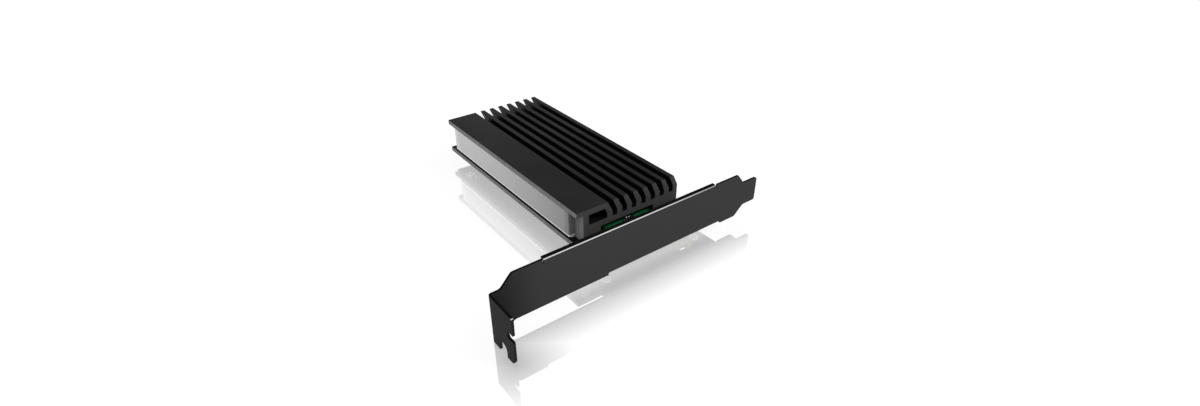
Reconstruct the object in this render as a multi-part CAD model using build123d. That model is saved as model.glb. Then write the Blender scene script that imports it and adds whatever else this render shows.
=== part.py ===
from build123d import *
import os

os.makedirs("parts", exist_ok=True)

# A solid state drive on an adapter card for a computer's expansion slot, under a finned heatsink.
# Millimetres. X runs along the bracket towards its tongue and the card's edge contacts, Y runs from
# the bracket into the card, and Z is up from the board's component side. The origin is on the
# bracket's outer face, on the drive's centre line, at the height of the board's component side.

# Bracket: a folded sheet, 120 mm long and 18.42 mm wide, with a tab folded away from the card
sheet = 0.86
fold_radius = 0.5
bracket_left = -69.75
bracket_length = 120.02
bracket_width = 18.42
bracket_drop = 2.05
neck_height = 13.84
neck_rise_start = 4.2
neck_rise_end = 8.5
shoulder_radius = 1.6
flare_top = 7.8
flare_foot = 4.4
flare_drop = 4.6
flare_radius = 2.4
tongue_low = 3.9
tongue_high = 14.1
tongue_lower_shoulder = (109.0, 113.3)
tongue_upper_shoulder = (108.8, 112.4)
tongue_corner_radius = 1.0
recess_height = 1.0
recess_margin = 0.1

# Bracket tab: a screw notch open at its lower edge, and a slit from its free edge
tab_reach = 13.3
tab_top_corner = 1.0
tab_free_corner = 2.2
notch_width = 4.42
notch_centre = 6.6
notch_top = 4.4
slit_width = 2.7
slit_centre = 10.45
slit_inner_end = 9.74

# Bracket flange, and the two feet welded to the plate's back
flange_start = 20.1
flange_end = 96.7
flange_lip = 0.64
relief_width = 0.6
relief_spare = 0.14
foot_width = 9.0
foot_reach = 12.0
foot_corner = 2.2
foot_weld = 0.7
foot_left_inset = 4.775
foot_right_inset = 5.7
foot_screw_y = 8.0

# Circuit board
board_thickness = 1.6
board_half_width = 23.725
board_near_gap = 0.14
board_length = 117.8
board_corner = 0.8
strip_overhang = 7.525
strip_far_y = 21.0
hook_near_y = 33.5
hook_far_y = 39.3
hook_overhang = 6.725
hook_inner_radius = 1.5
hook_corner = 1.0
edge_tongue_near_y = 44.3
edge_tongue_overhang = 12.325
edge_tongue_depth = 8.25
edge_tongue_corner = 1.0
edge_bevel_length = 1.3
edge_bevel_depth = 0.45
first_contact_count = 11
second_contact_count = 21
first_group_margin = 0.825
second_group_margin = 0.575
key_width = 1.9
key_depth = 7.4
contact_pitch = 1.0
contact_width = 0.7
contact_length = 2.9
contact_thickness = 0.04

# Plated slots for the heatsink's screws, and one that runs in under the bracket's right foot
slot_hole_length = 6.1
slot_hole_width = 2.2
slot_ring_width = 0.7
slot_inset = 2.525
slot_near_inset = 6.2
slot_far_inset = 9.5
extra_slot_inset = 6.75
extra_slot_y = 6.35

# Gold-plated plane under the drive
plane_half_width = 10.4
plane_near_y = 20.0
plane_far_y = 89.05
plane_thickness = 0.05
plane_standoff_gap = 0.9

# Drive: 22 x 80 mm, its near end on a standoff and its tongue in the socket
drive_width = 22.0
drive_length = 80.0
drive_thickness = 0.8
drive_near_y = 18.7
drive_corner = 0.5
drive_notch_radius = 1.75
drive_tongue_width = 19.85
drive_tongue_length = 4.0
drive_key_x = -6.0
drive_key_width = 1.2
drive_key_depth = 3.5
drive_hole_radius = 0.5
drive_hole_inset = 1.5
drive_contact_pitch = 0.5
drive_contact_width = 0.34
drive_contact_length = 2.4
drive_contact_inset = 0.2
drive_contact_thickness = 0.03

# Chips on the drive: from its left edge and near end
chip_height = 1.25
chip_edge = 0.12
memory_width = 18.0
memory_length = 13.8
memory_left = 1.1
near_memory_v = 4.1
far_memory_v = 60.9
controller_width = 15.0
controller_length = 14.2
controller_left = 2.4
controller_v = 43.8
cache_width = 14.0
cache_length = 10.8
cache_left = 1.7
cache_v = 31.4

# Small parts on the drive, between the near memory chip and the cache chip
small_parts_v = 19.4
capacitor_size = (1.6, 0.8, 0.8)
capacitor_rows = 2
capacitor_columns = 4
capacitor_pitch_u = 3.0
capacitor_pitch_v = 1.7
capacitor_first_u = 2.2
coil_size = (3.0, 3.0, 1.15)
coil_edge = 0.35
coil_u = (3.2, 7.4)
coil_v = 26.6
resistor_size = (0.5, 1.0, 0.35)
resistor_count = 6
resistor_pitch = 1.3
resistor_first_u = 11.4
resistor_v = 26.0

# Heat pads
pad_half_width = 10.0
pad_near_y = 22.1
upper_pad_length = 75.0
lower_pad_socket_gap = 0.5
lower_pad_thickness = 1.85
upper_pad_thickness = 1.39

# Drive socket
socket_jaw_length = 4.2
socket_jaw_front = 0.5
socket_jaw_gap = 0.3
socket_roof = 0.7
socket_clearance = 0.15
socket_mouth_clearance = 0.12
socket_key_clearance = 0.1
socket_back_wall = 1.95
spring_thickness = 0.1
spring_width = 0.24
tail_length = 0.9
tail_thickness = 0.15
contact_key_margin = 0.3

# Standoff and drive screw
standoff_radius = 2.5
standoff_edge = 0.25
spigot_radius = 1.8
thread_clearance = 0.03
drive_screw_radius = 1.0
drive_screw_length = 3.6
drive_screw_head_radius = 2.35
drive_screw_head_height = 0.7
drive_screw_recess_span = 2.6
drive_screw_recess_width = 0.56
drive_screw_recess_depth = 0.42
drive_screw_bevel = 0.25

# Heatsink extrusion, its far end flush with the board's
heatsink_near_y = 17.4
base_thickness = 2.36
fin_height = 6.8
knee_depth = 4.43
fin_lean = 2.32
end_lean = 2.1
slot_count = 7
slot_top_width = 2.62
slot_bottom_width = 2.2
block_width = 13.93
hook_gap = 0.575
hook_thickness = 0.6
hook_drop = 0.97
lip_upper_thickness = 1.97
lip_lower_thickness = 0.96
channel_depth = 2.95
duct_wall = 2.5
duct_roof = 2.45
duct_height = 4.2
step_height = 2.85
upper_cavity_left = 13.98
upper_cavity_right = 11.4
lower_cavity_left = 17.35
lower_cavity_right = 15.2

# Heatsink screws
heatsink_screw_inset = 0.25
heatsink_screw_radius = 0.77
heatsink_screw_reach = 4.0
heatsink_screw_head_radius = 1.6
heatsink_screw_head_height = 1.0
tapped_hole_spare = 0.6

# Bracket screws
bracket_screw_radius = 0.95
bracket_screw_spare = 0.5
bracket_screw_head_radius = 2.0
bracket_screw_head_height = 1.3
board_hole_clearance = 0.2

# Light bar in the heatsink's channel, over six diodes
bar_margin_near = 5.3
bar_margin_far = 5.3
bar_recess = 0.1
bar_back_gap = 0.15
bar_foot_height = 0.84
bar_foot_width = 1.2
bar_edge = 0.35
diode_count = 6
diode_first_y = 42.8
diode_pitch = 10.33
diode_inset = 1.075
diode_size = (0.8, 1.6, 0.5)
window_clearance = 0.35

# Ceramic capacitor on the board, beside the gold-plated plane
board_capacitor_x = -12.15
board_capacitor_y = 86.4
board_capacitor_size = (1.1, 5.6, 0.7)

# Heights and places worked out from the sizes above
drive_bottom = plane_thickness + lower_pad_thickness
drive_top = drive_bottom + drive_thickness
chip_top = drive_top + chip_height
cavity_height = chip_top + upper_pad_thickness
fin_floor = cavity_height + base_thickness
heatsink_top = fin_floor + fin_height
bracket_bottom = -bracket_drop
bracket_top = bracket_bottom + bracket_width
fold_outer = fold_radius + sheet
board_near_y = sheet + board_near_gap
board_far_y = board_near_y + board_length
strip_end_x = board_half_width + strip_overhang
hook_tip_x = board_half_width + hook_overhang
edge_tongue_tip_x = board_half_width + edge_tongue_overhang
foot_left_x = foot_left_inset - board_half_width
foot_right_x = strip_end_x - foot_right_inset
extra_slot_x = foot_right_x - extra_slot_inset
slot_offset_x = board_half_width - slot_inset
slot_near_y = heatsink_near_y + slot_near_inset
slot_far_y = board_far_y - slot_far_inset
heatsink_screw_x = slot_offset_x - heatsink_screw_inset
diode_x = diode_inset - board_half_width
tongue_root_x = edge_tongue_tip_x - edge_tongue_depth
first_group = 2 * first_group_margin + (first_contact_count - 1) * contact_pitch
second_group = 2 * second_group_margin + (second_contact_count - 1) * contact_pitch
key_near_y = edge_tongue_near_y + first_group
key_far_y = key_near_y + key_width
edge_tongue_far_y = key_far_y + second_group
drive_far_y = drive_near_y + drive_length
drive_shoulder_y = drive_far_y - drive_tongue_length
socket_mouth_y = drive_shoulder_y
socket_near_y = socket_mouth_y - socket_jaw_length
mouth_end_y = drive_far_y + socket_clearance
socket_far_y = mouth_end_y + socket_back_wall
heatsink_far_y = board_far_y
heatsink_left = -(board_half_width + hook_gap + hook_thickness)
heatsink_right = board_half_width
channel_back = heatsink_left + channel_depth
channel_top = heatsink_top - lip_upper_thickness
socket_top = drive_top + socket_roof
jaw_height = drive_bottom - socket_jaw_gap


def block(x0, x1, y0, y1, z0, z1):
    """A straight block between two corners."""
    return Pos((x0 + x1) / 2, (y0 + y1) / 2, (z0 + z1) / 2) * Box(x1 - x0, y1 - y0, z1 - z0)


def outline(*points):
    """A flat shape with straight sides."""
    return Polygon(*points, align=None)


def along_x(profile, x0, x1):
    """Carries a shape drawn in Y and Z from x0 to x1."""
    return Pos(x0, 0, 0) * extrude(Plane.YZ * profile, x1 - x0, dir=(1, 0, 0))


def along_y(profile, y0, y1):
    """Carries a shape drawn in X and Z from y0 to y1."""
    return Pos(0, y0, 0) * extrude(Plane.XZ * profile, y1 - y0, dir=(0, 1, 0))


def along_z(profile, z0, z1):
    """Carries a shape drawn in X and Y from z0 to z1."""
    return Pos(0, 0, z0) * extrude(profile, z1 - z0, dir=(0, 0, 1))


def rounded(shape, radius, *corners):
    """Rounds the corners of a flat shape that lie at the given points."""
    picked = [shape.vertices().sort_by_distance((x, y, 0))[0] for x, y in corners]
    return fillet(picked, radius)


def quarter_bend(outer, thickness):
    """A quarter of a ring, the section of a fold, in the upper left quarter about the fold's centre."""
    ring = Circle(outer) - Circle(outer - thickness)
    return ring & Pos(-outer / 2, outer / 2) * Rectangle(outer, outer)


def screw(head_radius, head_height, radius, length):
    """A flat-headed screw. Its head stands on z = 0 and its shank hangs below."""
    head = Pos(0, 0, head_height / 2) * Cylinder(head_radius, head_height)
    return head + Pos(0, 0, -length / 2) * Cylinder(radius, length)


def make_slot_bracket():
    """The bracket: plate with neck, shoulders and tongue, folded tab and top flange, welded feet."""
    left = bracket_left
    low = bracket_bottom
    high = bracket_top
    right = left + bracket_length
    flat_start = left + fold_outer
    neck = low + neck_height
    recess = low + recess_height
    recess_start = -board_half_width - recess_margin
    recess_end = strip_end_x + recess_margin

    plate = outline(
        (flat_start, low - flare_drop),
        (left + flare_foot, low - flare_drop),
        (left + flare_top, low),
        (recess_start, low),
        (recess_start, recess),
        (recess_end, recess),
        (recess_end, low),
        (left + tongue_lower_shoulder[0], low),
        (left + tongue_lower_shoulder[1], low + tongue_low),
        (right, low + tongue_low),
        (right, low + tongue_high),
        (left + tongue_upper_shoulder[1], low + tongue_high),
        (left + tongue_upper_shoulder[0], high),
        (left + neck_rise_end, high),
        (left + neck_rise_start, neck),
        (flat_start, neck),
    )
    plate = rounded(plate, flare_radius, (left + flare_top, low))
    plate = rounded(
        plate,
        shoulder_radius,
        (left + tongue_lower_shoulder[0], low),
        (left + tongue_lower_shoulder[1], low + tongue_low),
        (left + neck_rise_end, high),
        (left + neck_rise_start, neck),
    )
    plate = rounded(plate, tongue_corner_radius, (right, low + tongue_low), (right, low + tongue_high))

    flange_low = high - fold_outer
    flange_x0 = left + flange_start
    flange_x1 = left + flange_end
    plate -= Pos((flange_x0 + flange_x1) / 2, high) * Rectangle(flange_x1 - flange_x0, 2 * fold_outer)
    for x in (flange_x0 - relief_width / 2, flange_x1 + relief_width / 2):
        plate -= Pos(x, high) * Rectangle(relief_width, 2 * (fold_outer + relief_spare))
    bracket = along_y(plate, 0, sheet)

    bend = quarter_bend(fold_outer, sheet)
    bracket += along_x(Pos(fold_outer, flange_low) * bend, flange_x0, flange_x1)
    bracket += block(flange_x0, flange_x1, fold_outer, fold_outer + flange_lip, high - sheet, high)

    weld = Pos(foot_weld / 2, foot_weld / 2) * Rectangle(foot_weld, foot_weld)
    weld -= Pos(foot_weld, foot_weld) * Circle(foot_weld)
    for foot_x in (foot_left_x, foot_right_x):
        x0 = foot_x - foot_width / 2
        x1 = foot_x + foot_width / 2
        foot = outline((x0, sheet), (x1, sheet), (x1, foot_reach), (x0, foot_reach))
        foot = rounded(foot, foot_corner, (x0, foot_reach), (x1, foot_reach))
        foot -= Pos(foot_x, foot_screw_y) * Circle(bracket_screw_radius + thread_clearance)
        bracket += along_z(foot, 0, sheet)
        bracket += along_x(Pos(sheet, sheet) * weld, x0, x1)

    tab_bend = Pos(left + fold_outer, -fold_radius) * quarter_bend(fold_outer, sheet)
    bracket += along_z(tab_bend, low - flare_drop, neck)
    tab = outline(
        (-fold_radius, low - flare_drop),
        (-fold_radius, neck),
        (-tab_reach, neck),
        (-tab_reach, low - flare_drop),
    )
    tab = rounded(tab, tab_top_corner, (-tab_reach, neck))
    tab = rounded(tab, tab_free_corner, (-tab_reach, low - flare_drop))
    notch_radius = notch_width / 2
    notch_round = low - flare_drop + notch_top - notch_radius
    tab -= Pos(-notch_centre, notch_round) * Circle(notch_radius)
    tab -= Pos(-notch_centre, notch_round - notch_top) * Rectangle(notch_width, 2 * notch_top)
    slit_radius = slit_width / 2
    slit_z = low - flare_drop + slit_centre
    slit_round = -(slit_inner_end + slit_radius)
    tab -= Pos(slit_round, slit_z) * Circle(slit_radius)
    tab -= Pos(slit_round - tab_reach / 2, slit_z) * Rectangle(tab_reach, slit_width)
    return bracket + along_x(tab, left, left + sheet)


def slot_rings():
    """The outline of each plated slot, with its ring, and of its hole, in their places."""
    spare = 2 * slot_ring_width
    ring = SlotOverall(slot_hole_length + spare, slot_hole_width + spare)
    hole = SlotOverall(slot_hole_length, slot_hole_width)
    places = [Pos(extra_slot_x, extra_slot_y)]
    for x in (-slot_offset_x, slot_offset_x):
        for y in (slot_near_y, slot_far_y):
            places.append(Pos(x, y) * Rot(0, 0, 90))
    return [(place * ring, place * hole) for place in places]


def make_slot_plating():
    """The five plated slots: a gold ring with its hole, flush with both faces of the board."""
    return [along_z(ring - hole, -board_thickness, 0) for ring, hole in slot_rings()]


def make_circuit_board():
    """The board: near strip, hook, edge tongue with its key and bevel, and holes."""
    half = board_half_width
    tip = edge_tongue_tip_x
    root = tongue_root_x
    corner = edge_tongue_corner
    near = edge_tongue_near_y
    far = edge_tongue_far_y
    board = outline(
        (-half, board_near_y),
        (strip_end_x, board_near_y),
        (strip_end_x, strip_far_y),
        (half, strip_far_y),
        (half, hook_near_y),
        (hook_tip_x, hook_near_y),
        (hook_tip_x, hook_far_y),
        (root, hook_far_y),
        (root, near),
        (tip - corner, near),
        (tip, near + corner),
        (tip, far - corner),
        (tip - corner, far),
        (root, far),
        (root, board_far_y),
        (-half, board_far_y),
    )
    board = rounded(board, hook_inner_radius, (half, hook_near_y))
    board = rounded(board, hook_corner, (hook_tip_x, hook_near_y), (hook_tip_x, hook_far_y))
    board = rounded(
        board,
        board_corner,
        (strip_end_x, strip_far_y),
        (root, board_far_y),
        (-half, board_far_y),
    )
    key_middle = (key_near_y + key_far_y) / 2
    key_round = tip - key_depth + key_width / 2
    board -= Pos(key_round, key_middle) * Circle(key_width / 2)
    board -= Pos(key_round + key_depth / 2, key_middle) * Rectangle(key_depth, key_width)
    for foot_x in (foot_left_x, foot_right_x):
        board -= Pos(foot_x, foot_screw_y) * Circle(bracket_screw_radius + board_hole_clearance)
    board -= Pos(0, drive_near_y) * Circle(spigot_radius)
    for ring, hole in slot_rings():
        board -= ring
    solid = along_z(board, -board_thickness, 0)

    bevel = outline((tip - edge_bevel_length, 0), (tip, 0), (tip, -edge_bevel_depth))
    low_bevel = mirror(bevel, Plane.XZ.offset(board_thickness / 2))
    solid -= along_y(bevel, near - 1, far + 1)
    solid -= along_y(low_bevel, near - 1, far + 1)
    return solid


def make_ground_plane():
    """The thin gold-plated plane that takes the drive's heat, cut clear of the standoff."""
    plane = outline(
        (-plane_half_width, plane_near_y),
        (plane_half_width, plane_near_y),
        (plane_half_width, plane_far_y),
        (-plane_half_width, plane_far_y),
    )
    plane -= Pos(0, drive_near_y) * Circle(standoff_radius + plane_standoff_gap)
    return along_z(plane, 0, plane_thickness)


def make_edge_contacts():
    """The two groups of gold contacts, on both faces of the edge tongue."""
    far_x = edge_tongue_tip_x - edge_bevel_length
    near_x = far_x - contact_length
    groups = (
        (edge_tongue_near_y + first_group_margin, first_contact_count),
        (key_far_y + second_group_margin, second_contact_count),
    )
    contacts = []
    for first_y, count in groups:
        for index in range(count):
            y0 = first_y + index * contact_pitch - contact_width / 2
            y1 = y0 + contact_width
            contacts.append(block(near_x, far_x, y0, y1, 0, contact_thickness))
            under = -board_thickness
            contacts.append(block(near_x, far_x, y0, y1, under - contact_thickness, under))
    return contacts


def contact_columns():
    """The places along X of the drive's contacts, without those at its key."""
    count = int((drive_tongue_width / 2 - drive_contact_width) / drive_contact_pitch)
    places = [(index + 0.5) * drive_contact_pitch for index in range(-count, count)]
    clear = drive_key_width / 2 + contact_key_margin
    return [x for x in places if abs(x - drive_key_x) > clear]


def make_ssd_socket():
    """The socket: a sloping lower jaw, a roof over the mouth, end walls and a key rib."""
    half = drive_width / 2
    floor = jaw_height
    mouth_floor = drive_bottom - socket_clearance
    mouth_roof = drive_top + socket_clearance
    mouth_half = drive_tongue_width / 2 + socket_mouth_clearance
    section = outline(
        (socket_near_y, 0),
        (socket_near_y, socket_jaw_front),
        (socket_mouth_y, floor),
        (socket_mouth_y, socket_top),
        (socket_far_y, socket_top),
        (socket_far_y, 0),
    )
    housing = along_x(section, -half, half)
    housing -= block(-mouth_half, mouth_half, socket_mouth_y - 1, mouth_end_y, mouth_floor, mouth_roof)
    rib_half = drive_key_width / 2 - socket_key_clearance
    rib_near = drive_far_y - drive_key_depth + drive_key_width / 2 + socket_key_clearance
    rib_x = (drive_key_x - rib_half, drive_key_x + rib_half)
    housing += block(*rib_x, rib_near, mouth_end_y, mouth_floor, mouth_roof)
    return housing


def make_socket_contacts():
    """The springs on the lower jaw, which run into the mouth, and the tails behind the socket."""
    slope_near = socket_near_y + 0.3
    rise = (jaw_height - socket_jaw_front) / (socket_mouth_y - socket_near_y)
    low = socket_jaw_front + 0.3 * rise
    section = outline(
        (slope_near, low),
        (socket_mouth_y, jaw_height),
        (socket_mouth_y, jaw_height + spring_thickness),
        (slope_near, low + spring_thickness),
    )
    spring = along_x(section, -spring_width / 2, spring_width / 2)
    tail_end_y = socket_far_y + tail_length
    tail = block(-spring_width / 2, spring_width / 2, socket_far_y, tail_end_y, 0, tail_thickness)
    contacts = []
    for x in contact_columns():
        contacts.append(Pos(x, 0, 0) * spring)
        contacts.append(Pos(x, 0, 0) * tail)
    return contacts


def make_standoff():
    """The threaded standoff, with its spigot in the board."""
    body = Pos(0, 0, drive_bottom / 2) * Cylinder(standoff_radius, drive_bottom)
    body = chamfer(body.edges().group_by(Axis.Z)[-1], standoff_edge)
    body += Pos(0, 0, -board_thickness / 2) * Cylinder(spigot_radius, board_thickness)
    bore_radius = drive_screw_radius + thread_clearance
    body -= Cylinder(bore_radius, 4 * (board_thickness + drive_bottom))
    return Pos(0, drive_near_y, 0) * body


def make_drive_screw():
    """The screw with a cross recess that holds the drive's near end down on the standoff."""
    body = screw(drive_screw_head_radius, drive_screw_head_height, drive_screw_radius, drive_screw_length)
    body = chamfer(body.edges().group_by(Axis.Z)[-1], drive_screw_bevel)
    depth = 2 * drive_screw_recess_depth
    recess = Box(drive_screw_recess_span, drive_screw_recess_width, depth)
    recess += Box(drive_screw_recess_width, drive_screw_recess_span, depth)
    body -= Pos(0, 0, drive_screw_head_height) * recess
    return Pos(0, drive_near_y, drive_top) * body


def make_ssd_board():
    """The drive's board: tongue with its key, half-round screw notch and a corner hole."""
    half = drive_width / 2
    tongue = drive_tongue_width / 2
    board = outline(
        (-half, drive_near_y),
        (half, drive_near_y),
        (half, drive_shoulder_y),
        (tongue, drive_shoulder_y),
        (tongue, drive_far_y),
        (-tongue, drive_far_y),
        (-tongue, drive_shoulder_y),
        (-half, drive_shoulder_y),
    )
    corners = [(x, y) for x in (-half, half) for y in (drive_near_y, drive_shoulder_y)]
    board = rounded(board, drive_corner, *corners)
    board -= Pos(0, drive_near_y) * Circle(drive_notch_radius)
    key_round = drive_far_y - drive_key_depth + drive_key_width / 2
    board -= Pos(drive_key_x, key_round) * Circle(drive_key_width / 2)
    board -= Pos(drive_key_x, key_round + drive_key_depth / 2) * Rectangle(drive_key_width, drive_key_depth)
    board -= Pos(drive_hole_inset - half, drive_near_y + drive_hole_inset) * Circle(drive_hole_radius)
    return along_z(board, drive_bottom, drive_top)


def make_ssd_contacts():
    """The gold contacts on both faces of the drive's tongue."""
    y1 = drive_far_y - drive_contact_inset
    y0 = y1 - drive_contact_length
    half = drive_contact_width / 2
    contacts = []
    for x in contact_columns():
        contacts.append(block(x - half, x + half, y0, y1, drive_top, drive_top + drive_contact_thickness))
        contacts.append(
            block(x - half, x + half, y0, y1, drive_bottom - drive_contact_thickness, drive_bottom)
        )
    return contacts


def on_drive(u, v):
    """A place on the drive's top face, from its left edge and its near end."""
    return Pos(u - drive_width / 2, drive_near_y + v, drive_top)


def chip(width, length, left, near):
    """A chip package with a small bevel round its top."""
    body = Pos(width / 2, length / 2, chip_height / 2) * Box(width, length, chip_height)
    body = chamfer(body.edges().group_by(Axis.Z)[-1], chip_edge)
    return on_drive(left, near) * body


def seated(size):
    """A small part's block, standing on z = 0."""
    return Pos(0, 0, size[2] / 2) * Box(*size)


def make_ssd_capacitors():
    """Rows of ceramic capacitors beyond the near memory chip."""
    parts = []
    for row in range(capacitor_rows):
        for column in range(capacitor_columns):
            u = capacitor_first_u + column * capacitor_pitch_u + capacitor_size[0] / 2
            v = small_parts_v + row * capacitor_pitch_v + capacitor_size[1] / 2
            parts.append(on_drive(u, v) * seated(capacitor_size))
    return parts


def make_ssd_coils():
    """Two moulded coils of the drive's power supply."""
    coil = seated(coil_size)
    coil = chamfer(coil.edges().filter_by(Axis.Z), coil_edge)
    return [on_drive(u, coil_v) * coil for u in coil_u]


def make_ssd_resistors():
    """A row of resistors beside the coils."""
    places = [resistor_first_u + index * resistor_pitch for index in range(resistor_count)]
    return [on_drive(u, resistor_v) * seated(resistor_size) for u in places]


def make_lower_heat_pad():
    """The soft pad between the gold-plated plane and the drive, clear of the socket's jaw."""
    far = socket_near_y - lower_pad_socket_gap
    return block(-pad_half_width, pad_half_width, pad_near_y, far, plane_thickness, drive_bottom)


def make_upper_heat_pad():
    """The soft pad between the drive's chips and the heatsink."""
    far = pad_near_y + upper_pad_length
    return block(-pad_half_width, pad_half_width, pad_near_y, far, chip_top, cavity_height)


def heatsink_slot(left):
    """The section of one slot between fins, which leans in its upper part. left is at the top."""
    knee = heatsink_top - knee_depth
    wall = left + fin_lean
    return outline(
        (left, heatsink_top + 0.001),
        (wall, knee),
        (wall, fin_floor),
        (wall + slot_bottom_width, fin_floor),
        (wall + slot_bottom_width, knee),
        (left + slot_top_width, heatsink_top + 0.001),
    )


def heatsink_section():
    """The extrusion's section: solid block with its duct, light channel, fins and stepped legs."""
    left = heatsink_left
    right = heatsink_right
    top = heatsink_top
    knee = top - knee_depth
    section = outline(
        (left, top),
        (right - end_lean, top),
        (right, knee),
        (right, 0),
        (lower_cavity_right, 0),
        (lower_cavity_right, step_height),
        (upper_cavity_right, step_height),
        (upper_cavity_right, cavity_height),
        (-upper_cavity_left, cavity_height),
        (-upper_cavity_left, step_height),
        (-lower_cavity_left, step_height),
        (-lower_cavity_left, 0),
        (left + hook_thickness, 0),
        (left + hook_thickness, -hook_drop),
        (left, -hook_drop),
        (left, lip_lower_thickness),
        (channel_back, lip_lower_thickness),
        (channel_back, channel_top),
        (left, channel_top),
    )
    first_slot = left + block_width
    pitch = (right - end_lean - first_slot) / slot_count
    for index in range(slot_count):
        section -= heatsink_slot(first_slot + index * pitch)

    duct_left = channel_back + duct_wall
    duct_right = first_slot + fin_lean - duct_wall
    duct_top = top - duct_roof
    duct_floor = duct_top - duct_height
    slope = fin_lean / knee_depth
    duct_corner = duct_right - slope * (duct_top - knee)
    section -= outline(
        (duct_left, duct_floor),
        (duct_right, duct_floor),
        (duct_right, knee),
        (duct_corner, duct_top),
        (duct_left, duct_top),
    )
    return section


def diode_places():
    """The places along Y of the diodes."""
    return [diode_first_y + index * diode_pitch for index in range(diode_count)]


def make_heatsink():
    """The heatsink: its section carried along Y, with tapped holes and windows for the diodes."""
    body = along_y(heatsink_section(), heatsink_near_y, heatsink_far_y)
    depth = heatsink_screw_reach + tapped_hole_spare
    radius = heatsink_screw_radius + thread_clearance
    for x in (-heatsink_screw_x, heatsink_screw_x):
        for y in (slot_near_y, slot_far_y):
            body -= Pos(x, y, 0) * Cylinder(radius, 2 * depth)
    window = SlotOverall(diode_size[1] + 2 * window_clearance, diode_size[0] + 2 * window_clearance)
    for y in diode_places():
        cut = Pos(diode_x, y) * Rot(0, 0, 90) * window
        body -= along_z(cut, -1, lip_lower_thickness)
    return body


def make_light_bar():
    """The clear bar in the channel: bevelled outer edges, and a foot on the lip over the diodes."""
    front = heatsink_left + bar_recess
    back = channel_back - bar_back_gap
    low = lip_lower_thickness + bar_foot_height
    near = heatsink_near_y + bar_margin_near
    far = heatsink_far_y - bar_margin_far
    bar = block(front, back, near, far, low, channel_top)
    outer = bar.faces().sort_by(Axis.X)[0]
    bar = chamfer(outer.edges(), bar_edge)
    foot_left = back - bar_foot_width
    return bar + block(foot_left, back, near + bar_edge, far - bar_edge, lip_lower_thickness, low)


def make_leds():
    """Six diodes on the board's left edge."""
    return [Pos(diode_x, y, 0) * seated(diode_size) for y in diode_places()]


def make_board_capacitor():
    """The long ceramic capacitor beside the gold-plated plane."""
    return Pos(board_capacitor_x, board_capacitor_y, 0) * seated(board_capacitor_size)


def make_heatsink_screws():
    """Four screws from below, through the plated slots into the heatsink's legs."""
    length = board_thickness + heatsink_screw_reach
    body = screw(heatsink_screw_head_radius, heatsink_screw_head_height, heatsink_screw_radius, length)
    body = Rot(180, 0, 0) * body
    screws = []
    for x in (-heatsink_screw_x, heatsink_screw_x):
        for y in (slot_near_y, slot_far_y):
            screws.append(Pos(x, y, -board_thickness) * body)
    return screws


def make_bracket_screws():
    """Two screws from below, through the board into the bracket's feet."""
    length = board_thickness + sheet + bracket_screw_spare
    body = screw(bracket_screw_head_radius, bracket_screw_head_height, bracket_screw_radius, length)
    body = Rot(180, 0, 0) * body
    return [Pos(x, foot_screw_y, -board_thickness) * body for x in (foot_left_x, foot_right_x)]


nodes = {
    "slot_bracket": make_slot_bracket,
    "circuit_board": make_circuit_board,
    "slot_plating": make_slot_plating,
    "ground_plane": make_ground_plane,
    "edge_contacts": make_edge_contacts,
    "ssd_socket": make_ssd_socket,
    "socket_contacts": make_socket_contacts,
    "standoff": make_standoff,
    "ssd_screw": make_drive_screw,
    "ssd_board": make_ssd_board,
    "ssd_contacts": make_ssd_contacts,
    "ssd_controller": lambda: chip(controller_width, controller_length, controller_left, controller_v),
    "ssd_memory_chips": lambda: [
        chip(memory_width, memory_length, memory_left, v) for v in (near_memory_v, far_memory_v)
    ],
    "ssd_cache_chip": lambda: chip(cache_width, cache_length, cache_left, cache_v),
    "ssd_capacitors": make_ssd_capacitors,
    "ssd_coils": make_ssd_coils,
    "ssd_resistors": make_ssd_resistors,
    "lower_heat_pad": make_lower_heat_pad,
    "upper_heat_pad": make_upper_heat_pad,
    "heatsink": make_heatsink,
    "light_bar": make_light_bar,
    "leds": make_leds,
    "board_capacitor": make_board_capacitor,
    "heatsink_screws": make_heatsink_screws,
    "bracket_screws": make_bracket_screws,
}

for name, make in nodes.items():
    made = make()
    if isinstance(made, list):
        made = Compound(children=made)
    export_step(made, "parts/" + name + ".step")
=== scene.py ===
"""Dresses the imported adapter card: its finishes, its small fittings, the floor, the light and the camera.

Sizes are millimetres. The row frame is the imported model's: X along the bracket towards its tongue, Y from
the bracket into the card, Z up from the board's component side.
"""

import logging
import math
from dataclasses import dataclass
from enum import Enum

import bmesh
import bpy
import numpy as np
from mathutils import Matrix, Vector


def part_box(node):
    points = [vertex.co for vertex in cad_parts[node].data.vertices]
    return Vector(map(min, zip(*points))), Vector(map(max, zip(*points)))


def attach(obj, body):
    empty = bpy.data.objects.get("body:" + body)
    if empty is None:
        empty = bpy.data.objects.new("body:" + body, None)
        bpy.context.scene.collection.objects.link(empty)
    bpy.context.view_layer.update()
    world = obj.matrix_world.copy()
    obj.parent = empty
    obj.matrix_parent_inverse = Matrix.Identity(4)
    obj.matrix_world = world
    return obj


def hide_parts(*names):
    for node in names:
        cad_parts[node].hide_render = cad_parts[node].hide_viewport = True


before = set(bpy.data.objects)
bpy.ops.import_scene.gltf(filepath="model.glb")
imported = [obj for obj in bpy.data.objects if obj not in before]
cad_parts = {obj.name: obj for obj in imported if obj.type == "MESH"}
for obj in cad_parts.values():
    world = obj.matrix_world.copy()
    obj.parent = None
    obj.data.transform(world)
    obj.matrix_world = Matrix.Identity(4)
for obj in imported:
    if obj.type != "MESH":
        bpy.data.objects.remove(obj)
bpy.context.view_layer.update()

MM = 0.001
# The curve of sRGB: straight up to its knee, and a power above it
SRGB_KNEE, SRGB_SLOPE, SRGB_OFFSET, SRGB_POWER = 0.04045, 12.92, 0.055, 2.4
# Nearly all of a noise lies between these two values
NOISE_LOW, NOISE_HIGH = 0.3, 0.7
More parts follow.
